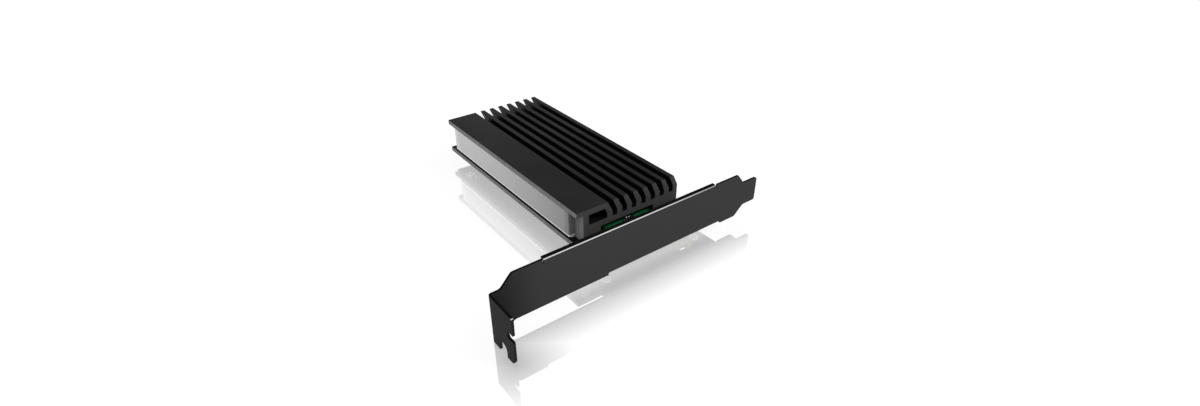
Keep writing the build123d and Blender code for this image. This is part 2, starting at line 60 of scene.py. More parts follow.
# How many finer layers a soft noise and a fine one have
MOTTLE_DETAIL, GRAIN_DETAIL = 3.0, 2.0
# The lowest roughness of a finish, and how many rays find its rounded edges
SMOOTHEST, EDGE_SAMPLES = 0.02, 4
# In place of a radius of 0, in millimetres
POINT_RADIUS = 1e-4
# Points that are nearer than this, in metres, are merged
SAME_POINT = 1e-8
# Edges that turn by more than this stay sharp
SHARP_DEGREES = 40.0
Socket = bpy.types.NodeSocket
Value = Socket | float | tuple | None
log = logging.getLogger("card")


def linear(hex_colour: str) -> tuple[float, ...]:
    """Turns an sRGB hex colour into the linear one that shaders take.

    Args:
        hex_colour: six hex digits, such as "b8963f".

    Returns:
        Red, green and blue, and an alpha of 1.
    """
    parts = np.array([int(hex_colour[at:at + 2], 16) for at in (0, 2, 4)]) / 255
    curved = ((parts + SRGB_OFFSET) / (1 + SRGB_OFFSET)) ** SRGB_POWER
    return (*np.where(parts <= SRGB_KNEE, parts / SRGB_SLOPE, curved).tolist(), 1.0)


class Nodes:
    """A tree of shader nodes."""

    def __init__(self, tree: bpy.types.NodeTree) -> None:
        """Takes the tree of a material or of the world, and empties it."""
        self.tree = tree
        self.tree.nodes.clear()

    def add(self, kind: str, inputs: dict[int | str, Value] | None = None, output: int | str = 0,
            **settings: object) -> Socket | None:
        """Adds a node with its settings and links.

        An input or output is given by name, or by its place where names repeat. A Mix node of colours takes
        its factor in 0 and its colours in 6 and 7, and gives the result in 2. A MapRange node takes its value
        in 0, the ends of the range that it comes from in 1 and 2, and those that it goes to in 3 and 4.

        Args:
            kind: the node's type, without its first word.
            inputs: what each input takes, a number, a colour or another node's output.
            output: which output is wanted.
            **settings: the node's own properties.

        Returns:
            The output, or nothing where the node has none.
        """
        node = self.tree.nodes.new("ShaderNode" + kind)
        for name, value in settings.items():
            setattr(node, name, value)
        for key, value in (inputs or {}).items():
            if isinstance(value, Socket):
                self.tree.links.new(value, node.inputs[key])
            else:
                node.inputs[key].default_value = value
        return node.outputs[output] if node.outputs else None


class Surface(Nodes):
    """The node tree of one material, with each point's place in millimetres and its facing."""

    def __init__(self, name: str) -> None:
        """Starts an empty material.

        Args:
            name: the material's name.
        """
        self.material = bpy.data.materials.new(name)
        self.material.use_nodes = True
        super().__init__(self.material.node_tree)
        place = self.add("TexCoord", output="Object")
        self.point = self.add("VectorMath", {0: place, "Scale": 1 / MM}, operation="SCALE")
        facing = self.add("TexCoord", output="Normal")
        self.x, self.y, self.z = (self.add("SeparateXYZ", {0: self.point}, axis) for axis in "XYZ")
        self.facing_x, self.facing_y, self.facing_z = (
            self.add("Math", {0: self.add("SeparateXYZ", {0: facing}, axis)}, operation="ABSOLUTE")
            for axis in "XYZ"
        )

    def layered(self, colour: Value, *layers: tuple[Value, str]) -> Socket:
        """Lays colours over a first one.

        Args:
            colour: the first colour.
            *layers: where each further colour lies, as a mask from 0 to 1, and its six hex digits.

        Returns:
            The colour with all its layers.
        """
        for mask, shade in layers:
            colour = self.add("Mix", {0: mask, 6: colour, 7: linear(shade)}, 2, data_type="RGBA")
        return colour


@dataclass(frozen=True)
class Finish:
    """A finish with a soft mottle in its colour and gloss, a fine grain, and slightly rounded edges.

    The mottle takes the colour to its shade, and the roughness up and down by the gloss spread.
    """

    name: str
    colour: str
    shade: str
    roughness: float
    metallic: float = 0.0
    specular: float = 0.5
    ior: float = 1.5
    coat: float = 0.0
    mottle_mm: float = 6.0
    gloss_spread: float = 0.08
    grain_mm: float = 0.25
    grain_height_mm: float = 0.004
    edge_mm: float = 0.12

    def colour_of(self, surface: Surface, mottle: Socket) -> Socket:
        """Gives the colour all over the surface: from the finish's colour to its shade with the mottle."""
        return surface.layered(linear(self.colour), (mottle, self.shade))

    def height_of(self, surface: Surface) -> Socket:
        """Gives the relief all over the surface.

        Args:
            surface: the material's tree.

        Returns:
            The height in millimetres: a fine noise with the finish's grain size and grain height.
        """
        fine = {"Vector": surface.point, "Scale": 1 / self.grain_mm, "Detail": GRAIN_DETAIL}
        grain = surface.add("TexNoise", fine)
        return surface.add("Math", {0: grain, 1: self.grain_height_mm}, operation="MULTIPLY")

    def metal_of(self, surface: Surface) -> Value:
        """Gives how metallic the surface is: the same all over, unless a finish says otherwise."""
        return self.metallic

    def extras(self) -> dict[str, Value]:
        """Gives further settings of the shader: none, unless a finish has some."""
        return {}

    def make(self) -> bpy.types.Material:
        """Builds the material.

        Returns:
            The material, named for the real one.
        """
        surface = Surface(self.name)
        soft = {"Vector": surface.point, "Scale": 1 / self.mottle_mm, "Detail": MOTTLE_DETAIL}
        mottle = surface.add("TexNoise", soft)
        low = max(self.roughness - self.gloss_spread, SMOOTHEST)
        high = min(self.roughness + self.gloss_spread, 1.0)
        gloss = surface.add("MapRange", {0: mottle, 1: NOISE_LOW, 2: NOISE_HIGH, 3: low, 4: high})
        edge = surface.add("Bevel", {"Radius": self.edge_mm * MM}, samples=EDGE_SAMPLES)
        relief = {"Height": self.height_of(surface), "Distance": MM, "Normal": edge}
        shader = surface.add("BsdfPrincipled", {
            "Base Color": self.colour_of(surface, mottle),
            "Metallic": self.metal_of(surface),
            "Roughness": gloss,
            "IOR": self.ior,
            "Specular IOR Level": self.specular,
            "Coat Weight": self.coat,
            "Normal": surface.add("Bump", relief),
            **self.extras(),
        })
        surface.add("OutputMaterial", {0: shader})
        return surface.material


@dataclass(frozen=True)
class AnodisedExtrusion(Finish):
    """Black anodised aluminium, extruded along Y: faint die lines, and painted light on its cut ends and
    outer lips.

    The die leaves fine lines along the length. The cut ends are painted greyer, partly for the saw cut and
    partly as a painted highlight where they face the light, and the left side's upright faces, the two lips
    and the channel behind the light bar, are painted mid grey, a painted reflection of the pale floor in
    faces that the die leaves smooth. A face looks along an axis where its normal's part is past square_on.
    """

    # The cut ends' grey: partly the saw cut, partly a painted highlight
    cut_and_highlight_colour: str = "505050"
    # Painted reflection of the pale floor on the outer lips and the channel
    lip_reflection_colour: str = "7c7c7c"
    lip_x_mm: float = -21.9
    lip_reflection_strength: float = 1.7
    square_on: float = 0.9
    streak_mm: tuple[float, float, float] = (1.0, 0.35, 20.0)
    line_mm: tuple[float, float, float] = (0.35, 60.0, 0.35)

    def lines(self, surface: Surface, cell_mm: tuple[float, float, float]) -> Socket:
        """Gives a noise drawn out along one axis.

        Args:
            surface: the material's tree.
            cell_mm: how long a cell of the noise is along each axis.

        Returns:
            The noise, from 0 to 1.
        """
        stretch = tuple(1 / side for side in cell_mm)
        drawn = surface.add("VectorMath", {0: surface.point, 1: stretch}, operation="MULTIPLY")
        return surface.add("TexNoise", {"Vector": drawn, "Scale": 1.0, "Detail": GRAIN_DETAIL})

    def colour_of(self, surface: Surface, mottle: Socket) -> Socket:
        """Gives the colour: the mottle, with a painted highlight on the cut ends and a painted reflection on
        the lips.

        A lip's painted reflection is streaked: it lies where the face looks sideways and is far enough out,
        times a noise and a strength.

        Args:
            surface: the material's tree.
            mottle: a soft noise from 0 to 1.

        Returns:
            The colour.
        """
        # Painted highlight: ends that face along Y are painted greyer, partly for the light they face
        end = surface.add("Math", {0: surface.facing_y, 1: self.square_on}, operation="GREATER_THAN")
        # Painted reflection: sideways faces far enough out are painted mid grey, streaked by a noise
        lip_reflection = surface.add("Math", {0: surface.facing_x, 1: self.square_on}, operation="GREATER_THAN")
        outer = surface.add("Math", {0: surface.x, 1: self.lip_x_mm}, operation="LESS_THAN")
        for share in (outer, self.lines(surface, self.streak_mm)):
            lip_reflection = surface.add("Math", {0: lip_reflection, 1: share}, operation="MULTIPLY")
        lip_reflection = surface.add("Math", {0: lip_reflection, 1: self.lip_reflection_strength}, operation="MULTIPLY", use_clamp=True)
        colour = super().colour_of(surface, mottle)
        return surface.layered(colour, (end, self.cut_and_highlight_colour), (lip_reflection, self.lip_reflection_colour))

    def height_of(self, surface: Surface) -> Socket:
        """Gives the relief: die lines along Y over the fine grain of the anodising.

        Args:
            surface: the material's tree.

        Returns:
            The height in millimetres.
        """
        lines = {0: self.lines(surface, self.line_mm), 1: self.grain_height_mm}
        raised = surface.add("Math", lines, operation="MULTIPLY")
        return surface.add("Math", {0: super().height_of(surface), 1: raised}, operation="ADD")


@dataclass(frozen=True)
class FoldedSheet(Finish):
    """Powder coat on folded steel, with painted dark reflections on edges and folds and a painted highlight
    on the fold.

    The coat is smooth enough to mirror the room a little. Faces that look up or down and the fold beside the
    tab get a painted dark reflection, nearly black, the front gets painted shade towards the tab, and a
    painted highlight, a strip light's reflection, lies as one pale line along the fold between the front and
    the flange.
    Towards the tongue the highlight fades to what fold_highlight_left leaves of it.
    """

    # Painted highlight: a strip light's reflection as a pale line along the flange's fold
    fold_highlight_colour: str = "d2d2d2"
    fold_highlight_width: float = 0.08
    fold_highlight_fade_mm: tuple[float, float] = (0.0, 41.0)
    fold_highlight_left: float = 0.25
    front_y_mm: float = 0.8
    above_z_mm: float = 10.0
    # Painted dark reflection: faces that look up or down and the fold beside the tab are painted nearly black
    dark_reflection_colour: str = "0c0c0c"
    dark_reflection_facing: tuple[float, float] = (0.3, 0.6)
    dark_fold_width: float = 0.5
    # Painted shade: the coat grows darker towards the tab, within the reach from it
    tab_shade_colour: str = "262626"
    tab_x_mm: float = -69.7
    tab_shade_reach_mm: float = 20.0

    def halved(self, surface: Surface, first: Socket, second: Socket, width: float) -> Socket:
        """Gives where the surface turns halfway between two directions, as along a fold.

        Where the normal halves the angle between both, its two parts are equal, and twice their product
        is 1.

        Args:
            surface: the material's tree.
            first: the normal's part along one direction.
            second: the normal's part along the other.
            width: how far from halfway the mask begins, as a share of the product.

        Returns:
            A mask from 0 to 1.
        """
        both = surface.add("Math", {0: first, 1: second}, operation="MULTIPLY")
        begin = (1 - width) / 2
        return surface.add("MapRange", {0: both, 1: begin, 2: 0.5, 3: 0.0, 4: 1.0})

    def colour_of(self, surface: Surface, mottle: Socket) -> Socket:
        """Gives the colour: the coat's, with painted shade by the tab, painted dark reflections and a painted
        highlight.

        Args:
            surface: the material's tree.
            mottle: a soft noise from 0 to 1.

        Returns:
            The colour.
        """
        # Painted shade towards the tab: a smooth ramp in X from the tab
        ramp = {0: surface.x, 1: self.tab_x_mm, 2: self.tab_x_mm + self.tab_shade_reach_mm, 3: 1.0, 4: 0.0}
        tab_shade = surface.add("MapRange", ramp, interpolation_type="SMOOTHSTEP")
        # Painted dark reflection on faces that look up or down, and on the fold beside the tab
        begin, full = self.dark_reflection_facing
        edge = surface.add("MapRange", {0: surface.facing_z, 1: begin, 2: full, 3: 0.0, 4: 1.0})
        dark_fold = self.halved(surface, surface.facing_x, surface.facing_y, self.dark_fold_width)
        dark_reflection = surface.add("Math", {0: edge, 1: dark_fold}, operation="MAXIMUM")
        # Painted highlight: the pale line on the fold between the front and the flange, fading towards the
        # tongue
        fold_highlight = self.halved(surface, surface.facing_y, surface.facing_z, self.fold_highlight_width)
        front = surface.add("Math", {0: surface.y, 1: self.front_y_mm}, operation="LESS_THAN")
        above = surface.add("Math", {0: surface.z, 1: self.above_z_mm}, operation="GREATER_THAN")
        start, stop = self.fold_highlight_fade_mm
        fade = surface.add("MapRange", {0: surface.x, 1: start, 2: stop, 3: 1.0, 4: self.fold_highlight_left})
        for share in (front, above, fade):
            fold_highlight = surface.add("Math", {0: fold_highlight, 1: share}, operation="MULTIPLY")
        colour = super().colour_of(surface, mottle)
        layers = (tab_shade, self.tab_shade_colour), (dark_reflection, self.dark_reflection_colour), (fold_highlight, self.fold_highlight_colour)
        return surface.layered(colour, *layers)


@dataclass(frozen=True)
class BoardLaminate(Finish):
    """Solder mask over woven glass laminate: smooth faces with faint tracks, and a paler cut edge.

    The mask follows the copper below it, so tracks show as slightly paler, slightly raised lines.
    """

    edge_colour: str = "4a4a48"
    track_colour: str = "161616"
    track_cell_mm: float = 7.0
    track_pitch_mm: float = 0.9
    track_share: float = 0.3
    track_scatter: float = 0.6
    track_height_mm: float = 0.03
    layer_mm: float = 0.2
    layer_share: float = 0.65
    side_facing: float = 0.5

    def tracks(self, surface: Surface) -> Socket:
        """Gives where the tracks run: square rings about scattered points, as bundles of tracks look.

        Args:
            surface: the material's tree.

        Returns:
            A mask of 0 and 1.
        """
        cells = {"Vector": surface.point, "Scale": 1 / self.track_cell_mm, "Randomness": self.track_scatter}
        ring = surface.add("TexVoronoi", cells, distance="CHEBYCHEV", voronoi_dimensions="2D")
        per_cell = self.track_cell_mm / self.track_pitch_mm
        turns = surface.add("Math", {0: ring, 1: per_cell}, operation="MULTIPLY")
        part = surface.add("Math", {0: turns}, operation="FRACT")
        return surface.add("Math", {0: part, 1: self.track_share}, operation="LESS_THAN")

    def colour_of(self, surface: Surface, mottle: Socket) -> Socket:
        """Gives the colour: mask, tracks below it, and the laminate's layers on the cut edge.

        The layers are a triangle wave of the height, which weakens the edge's colour.

        Args:
            surface: the material's tree.
            mottle: a soft noise from 0 to 1.

        Returns:
            The colour.
        """
        side = surface.add("Math", {0: surface.facing_z, 1: self.side_facing}, operation="LESS_THAN")
        layer = surface.add("Math", {0: surface.z, 1: self.layer_mm}, operation="PINGPONG")
        wave = surface.add("MapRange", {0: layer, 1: 0.0, 2: self.layer_mm, 3: self.layer_share, 4: 1.0})
        side = surface.add("Math", {0: side, 1: wave}, operation="MULTIPLY")
        colour = super().colour_of(surface, mottle)
        return surface.layered(colour, (self.tracks(surface), self.track_colour), (side, self.edge_colour))

    def height_of(self, surface: Surface) -> Socket:
        """Gives the relief: tracks under the mask, over the fine grain.

        Args:
            surface: the material's tree.

        Returns:
            The height in millimetres.
        """
        tracks = {0: self.tracks(surface), 1: self.track_height_mm}
        raised = surface.add("Math", tracks, operation="MULTIPLY")
        return surface.add("Math", {0: super().height_of(surface), 1: raised}, operation="ADD")


@dataclass(frozen=True)
class PlatedPlane(Finish):
    """Immersion gold on a rolled copper plane, with small plated holes in rows and a bright border."""

    border_colour: str = "9c8348"
    hole_colour: str = "2a2010"
    half_width_mm: float = 10.4
    border_mm: float = 0.5
    hole_radius_mm: float = 0.22
    hole_first_mm: tuple[float, float] = (2.475, 27.6)
    hole_pitch_mm: tuple[float, float] = (4.95, 5.8)

    def colour_of(self, surface: Surface, mottle: Socket) -> Socket:
        """Gives the colour: dull gold, a bright border, and dark holes.

        A point's way to the nearest row of holes is a triangle wave of its place.

        Args:
            surface: the material's tree.
            mottle: a soft noise from 0 to 1.

        Returns:
            The colour.
        """
        ways = []
        for axis, first, pitch in zip((surface.x, surface.y), self.hole_first_mm, self.hole_pitch_mm):
            moved = surface.add("Math", {0: axis, 1: first}, operation="SUBTRACT")
            ways.append(surface.add("Math", {0: moved, 1: pitch / 2}, operation="PINGPONG"))
        away = surface.add("CombineXYZ", {0: ways[0], 1: ways[1]})
        reach = surface.add("VectorMath", {0: away}, "Value", operation="LENGTH")
        hole = surface.add("Math", {0: reach, 1: self.hole_radius_mm}, operation="LESS_THAN")
        aside = surface.add("Math", {0: surface.x}, operation="ABSOLUTE")
        inner = self.half_width_mm - self.border_mm
        border = surface.add("Math", {0: aside, 1: inner}, operation="GREATER_THAN")
        colour = super().colour_of(surface, mottle)
        return surface.layered(colour, (hole, self.hole_colour), (border, self.border_colour))


@dataclass(frozen=True)
class FrostedBar(Finish):
    """Clear acrylic with a frosted core: milky grey, with a painted white highlight along its lower edge.

    The lowest millimetre is a painted white highlight, and painted shade makes the face greyer towards the
    bracket. A painted highlight makes the far end paler, and painted shade makes the near end darker.
    """

    # Painted highlight along the lower edge
    foot_highlight_colour: str = "f6f6f6"
    # Painted shade on the near end and a painted highlight on the far end
    near_end_shade_colour: str = "767676"
    far_end_highlight_colour: str = "cfcfcf"
    near_y_mm: float = 22.7
    far_y_mm: float = 113.5
    low_z_mm: float = 1.8
    foot_highlight_mm: float = 0.9
    foot_highlight_full: float = 0.6
    near_end_mm: float = 2.5
    far_end_mm: float = 3.0
    fade_power: float = 1.6
    mottle_share: float = 0.03
    coat_roughness: float = 0.1

    def colour_of(self, surface: Surface, mottle: Socket) -> Socket:
        """Gives the colour: painted shade along Y and at the near end, and painted highlights at the far end
        and foot.

        The gradient is a power of the way from the far end to the near one.

        Args:
            surface: the material's tree.
            mottle: a soft noise from 0 to 1, of which only a little is used.

        Returns:
            The colour.
        """
        # Painted shade: the face greys from its colour to its shade towards the bracket
        ramp = {0: surface.y, 1: self.near_y_mm, 2: self.far_y_mm, 3: 1.0, 4: 0.0}
        along = surface.add("MapRange", ramp)
        along = surface.add("Math", {0: along, 1: self.fade_power}, operation="POWER")
        along = surface.add("Math", {0: mottle, 1: self.mottle_share, 2: along}, operation="MULTIPLY_ADD")
        # Painted shade on the near end, painted highlight on the far end
        near_mm = self.near_y_mm + self.near_end_mm
        far_mm = self.far_y_mm - self.far_end_mm
        near_end_shade = surface.add("Math", {0: surface.y, 1: near_mm}, operation="LESS_THAN")
        far_end_highlight = surface.add("Math", {0: surface.y, 1: far_mm}, operation="GREATER_THAN")
        # Painted highlight: the foot mask whitens the lowest part of the face
        highlight_top_z = self.low_z_mm + self.foot_highlight_mm
        highlight_full_z = self.low_z_mm + self.foot_highlight_full * self.foot_highlight_mm
        foot = surface.add("MapRange", {0: surface.z, 1: highlight_top_z, 2: highlight_full_z, 3: 0.0, 4: 1.0})
        painted_ends = (near_end_shade, self.near_end_shade_colour), (far_end_highlight, self.far_end_highlight_colour)
        return surface.layered(linear(self.colour), (along, self.shade), *painted_ends, (foot, self.foot_highlight_colour))

    def extras(self) -> dict[str, Value]:
        """Gives how rough the clear skin over the frosted core is."""
        return {"Coat Roughness": self.coat_roughness}


@dataclass(frozen=True)
class TwoToneScrew(Finish):
    """Blackened head on a bright screw: the head's top is black, its rim and the shank are bare."""

    rim_colour: str = "c9c9c9"
    top_z_mm: float = 3.25

    def bare(self, surface: Surface) -> Socket:
        """Gives where the screw is bare metal, as 0 or 1: below the head's top face."""
        return surface.add("Math", {0: surface.z, 1: self.top_z_mm}, operation="LESS_THAN")

    def colour_of(self, surface: Surface, mottle: Socket) -> Socket:
        """Gives the colour: black on the top, bright below it."""
        colour = super().colour_of(surface, mottle)
        return surface.layered(colour, (self.bare(surface), self.rim_colour))

    def metal_of(self, surface: Surface) -> Value:
        """Gives how metallic it is: fully where it is bare."""
        return self.bare(surface)


# Powder coat on folded steel: satin, with a faint orange peel and hardly a reflection on its flat faces
# Its painted shade by the tab, painted dark reflections and painted fold highlight come from FoldedSheet
POWDER_COAT = FoldedSheet("satin_powder_coat", "3a3a3a", "363636", 0.3, specular=0.008, mottle_mm=60.0,
                          gloss_spread=0.02, grain_mm=0.5, grain_height_mm=0.0006, edge_mm=0.15)
# Black anodised aluminium extrusion: matte, with fine lines along its length
ANODISED = AnodisedExtrusion("black_anodised_aluminium", "171717", "131313", 0.5, specular=0.05,
                             mottle_mm=40.0, grain_mm=0.12, grain_height_mm=0.003, edge_mm=0.15)
# Black solder mask: a thin lacquer over the laminate, nearly black, that mirrors little
BLACK_MASK = BoardLaminate("black_solder_mask", "0c0c0c", "0f0f0f", 0.3, specular=0.03, mottle_mm=20.0,
                           grain_mm=0.5, grain_height_mm=0.002, track_height_mm=0.01)
# Green solder mask: the same lacquer in green, bright at the cut edge
GREEN_MASK = BoardLaminate("green_solder_mask", "0a5230", "0c6038", 0.3, specular=0.06, mottle_mm=8.0,
                           grain_mm=0.4, grain_height_mm=0.004, edge_colour="18955a", track_colour="14693f",
                           track_cell_mm=4.0, track_pitch_mm=0.6, edge_mm=0.06)
# Gold plating over nickel: warm, fairly bright, softly uneven
GOLD = Finish("gold_plating", "c3a052", "a98840", 0.32, metallic=1.0, mottle_mm=3.0, grain_mm=0.15,
              edge_mm=0.05)
# Immersion gold on a wide plane: duller, darker towards brown
GOLD_PLANE = PlatedPlane("immersion_gold_plane", "665227", "4c3d1c", 0.42, metallic=1.0, mottle_mm=18.0,
                         grain_mm=0.2, edge_mm=0.02)
# Moulded liquid crystal polymer: dull black with the mould's spark-eroded grain
SOCKET_PLASTIC = Finish("moulded_polymer", "151516", "1a1a1b", 0.55, specular=0.15, mottle_mm=4.0,
                        grain_mm=0.12, grain_height_mm=0.008, edge_mm=0.08)
# Tinned phosphor bronze: soft silver
TINNED = Finish("tinned_bronze", "c9c5b9", "aeaa9e", 0.3, metallic=1.0, mottle_mm=1.5, grain_mm=0.1,
                edge_mm=0.03)
# Turned brass: warm yellow, softly uneven
BRASS = Finish("turned_brass", "cdb06c", "b4934f", 0.28, metallic=1.0, mottle_mm=2.0, grain_mm=0.15,
               edge_mm=0.1)
# Zinc plated steel: a bright, cool grey, a little cloudy
ZINC = Finish("zinc_plated_steel", "d2d4d7", "b8babd", 0.3, metallic=0.85, mottle_mm=1.6, grain_mm=0.12,
              edge_mm=0.05)
# Blackened steel screw: a dull black top and a bare, bright rim
DRIVE_SCREW = TwoToneScrew("blackened_steel_screw", "131313", "1b1b1b", 0.35, mottle_mm=1.5, grain_mm=0.1,
                           edge_mm=0.05)
# Moulded epoxy of the chips: matte, nearly black, with a fine blasted grain
EPOXY = Finish("moulded_epoxy", "111111", "161616", 0.6, specular=0.04, mottle_mm=5.0, grain_mm=0.09,
               grain_height_mm=0.005, edge_mm=0.06)
# Fired ceramic: dull tan brown
CERAMIC = Finish("fired_ceramic", "8b6a45", "7a5a38", 0.5, mottle_mm=0.7, grain_mm=0.06, edge_mm=0.04)
# White fired ceramic of the long capacitor: dull, slightly warm
WHITE_CERAMIC = Finish("white_ceramic", "d9d6cf", "c9c5bc", 0.45, mottle_mm=0.9, grain_mm=0.07, edge_mm=0.05)
# Tinned end caps of the small parts: dull silver
END_CAP = Finish("tin_end_cap", "b9b5aa", "a39e90", 0.38, metallic=1.0, mottle_mm=0.5, grain_mm=0.05,
                 edge_mm=0.03)
# Pressed ferrite: dark grey, slightly speckled
FERRITE = Finish("pressed_ferrite", "3b3b3d", "2e2e30", 0.6, mottle_mm=0.4, grain_mm=0.08, edge_mm=0.08)
# Thick film resistor: black glaze with a soft shine
RESISTOR = Finish("black_glaze", "141414", "1e1e1e", 0.35, mottle_mm=0.5, grain_mm=0.05, edge_mm=0.03)
# Filled silicone of the heat pads: soft, dull, light grey, with the liner's fine emboss
SILICONE = Finish("filled_silicone", "a3a3a3", "939393", 0.7, specular=0.3, mottle_mm=7.0, grain_mm=0.5,
                  grain_height_mm=0.03, edge_mm=0.2)
# Moulded white package of the diodes: bright, slightly warm
DIODE = Finish("white_diode_package", "e6e4dd", "d8d5cc", 0.4, mottle_mm=0.8, grain_mm=0.08, edge_mm=0.03)
# Phosphor in silicone, in the diode's window: clear yellow
PHOSPHOR = Finish("diode_phosphor", "e3cf55", "d6bd3e", 0.3, mottle_mm=0.3, grain_mm=0.05, edge_mm=0.02)
# Clear acrylic light bar with a frosted core: milky, under a skin with a soft shine; its shade is painted
# shade
ACRYLIC = FrostedBar("frosted_acrylic", "bcbcbc", "858585", 0.35, specular=0.4, ior=1.49, coat=0.3,
                     mottle_mm=40.0, gloss_spread=0.02, grain_mm=0.4, grain_height_mm=0.0004, edge_mm=0.1)


class Axis(Enum):
    """The axis that a small part lies along."""

    X = 0
    Y = 1


def box_mm(node: str) -> tuple[np.ndarray, np.ndarray]:
    """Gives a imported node's lowest and highest corners, in millimetres."""
    low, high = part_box(node)
    return np.array(low) / MM, np.array(high) / MM


def spread(node: str, size: tuple[float, ...], counts: tuple[int, int]) -> np.ndarray:
    """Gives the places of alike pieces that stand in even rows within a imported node.

    Each axis is divided evenly between the first and the last piece's centre.

    Args:
        node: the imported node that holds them.
        size: the size of one piece, along X and Y at least.
        counts: how many stand along X and along Y.

    Returns:
        One row for each piece: the middle of its base.
    """
    low, high = box_mm(node)
    half = np.array(size) / 2
    across = np.linspace(low[0] + half[0], high[0] - half[0], counts[0])
    along = np.linspace(low[1] + half[1], high[1] - half[1], counts[1])
    x, y = np.meshgrid(across, along)
    return np.column_stack([x.ravel(), y.ravel(), np.full(x.size, low[2])])


def carried(size: tuple[float, float], corner: float, profile: np.ndarray, steps: int = 5) -> np.ndarray:
    """Carries a profile round a rectangle with round corners.

    A point is the sign of its quadrant times the half size less the corner radius, plus its direction
    times what the inset leaves of the radius.

    Args:
        size: the rectangle's sides.
        corner: the radius of its corners.
        profile: rows of inset and height, from the base's rim to the top's.
        steps: how many faces a corner has.

    Returns:
        A grid of points: profile rows, places round the outline, and x, y, z.
    """
    turn = np.linspace(0, math.pi / 2, steps + 1)
    angle = (np.arange(4)[:, None] * math.pi / 2 + turn[None, :]).ravel()
    middle = np.repeat(np.arange(4) * math.pi / 2 + math.pi / 4, steps + 1)
    way = np.column_stack([np.cos(angle), np.sin(angle)])
    quadrant = np.sign(np.column_stack([np.cos(middle), np.sin(middle)]))
    inset = profile[:, 0][:, None, None]
    half = np.array(size) / 2
    straight = quadrant * (half - np.maximum(corner, inset))
    flat = straight + way * np.maximum(corner - inset, 0)
    height = np.broadcast_to(profile[:, 1][:, None, None], (*flat.shape[:2], 1))
    return np.concatenate([flat, height], axis=2)


def soft_edges(height: float, radius: float, steps: int) -> np.ndarray:
    """Gives the profile of a block with rounded rims: a quarter circle at its base and one at its top.

    Args:
        height: the block's height.
        radius: the radius of both rims.
        steps: how many faces a rim has.

    Returns:
        Rows of inset and height.
    """
    turn = np.linspace(0, math.pi / 2, steps + 1)
    inset = radius * (1 - np.sin(turn))
    rise = radius * (1 - np.cos(turn))
    return np.vstack([np.column_stack([inset, rise]), np.column_stack([inset, height - rise])[::-1]])


def piece(name: str, grid: np.ndarray, places: np.ndarray, finish: Finish,
          stands_for: str | None = None) -> None:
    """Makes one object of alike closed bodies, each a grid closed round its columns and capped at its ends.

    Args:
        name: the object's name.
        grid: one body's points: rows, columns and x, y, z, with its rows running upwards.
        places: one row for each body, added to its points.
        finish: what it is finished with.
        stands_for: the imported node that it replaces, if any.
    """
    rows, columns = grid.shape[:2]
    row, column = np.meshgrid(np.arange(rows - 1), np.arange(columns), indexing="ij")
    after = (column + 1) % columns
    quads = np.stack([row * columns + column, row * columns + after,
                      (row + 1) * columns + after, (row + 1) * columns + column], axis=-1).reshape(-1, 4)
    base = np.arange(columns)[::-1]
    top = np.arange(columns) + (rows - 1) * columns
    faces = []
    for start in np.arange(len(places)) * rows * columns:
        faces += (quads + start).tolist()
        faces += [(base + start).tolist(), (top + start).tolist()]
    points = (places[:, None, None, :] + grid[None]).reshape(-1, 3) * MM
    mesh = bpy.data.meshes.new(name)
    mesh.from_pydata(points.tolist(), [], faces)
    work = bmesh.new()
    work.from_mesh(mesh)
    bmesh.ops.remove_doubles(work, verts=work.verts, dist=SAME_POINT)
    bmesh.ops.dissolve_degenerate(work, edges=work.edges, dist=SAME_POINT)
    bmesh.ops.recalc_face_normals(work, faces=work.faces)
    work.to_mesh(mesh)
    work.free()
    mesh.polygons.foreach_set("use_smooth", np.ones(len(mesh.polygons), bool))
    mesh.set_sharp_from_angle(angle=math.radians(SHARP_DEGREES))
    made = bpy.data.objects.new(name, mesh)
    bpy.context.scene.collection.objects.link(made)
    mesh.materials.append(finish.make())
    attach(made, "root")
    if stands_for:
        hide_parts(stands_for)
    log.info("%s: %d faces", name, len(mesh.polygons))


def dress(finish: Finish, *nodes: str) -> None:
    """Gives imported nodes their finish.

    Args:
        finish: the finish.
        *nodes: the nodes that have it.
    """
    material = finish.make()
    for node in nodes:
        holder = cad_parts[node]
        if not holder.material_slots:
            holder.data.materials.append(material)
        for slot in holder.material_slots:
            slot.material = material
        log.info("%s: %s", node, finish.name)


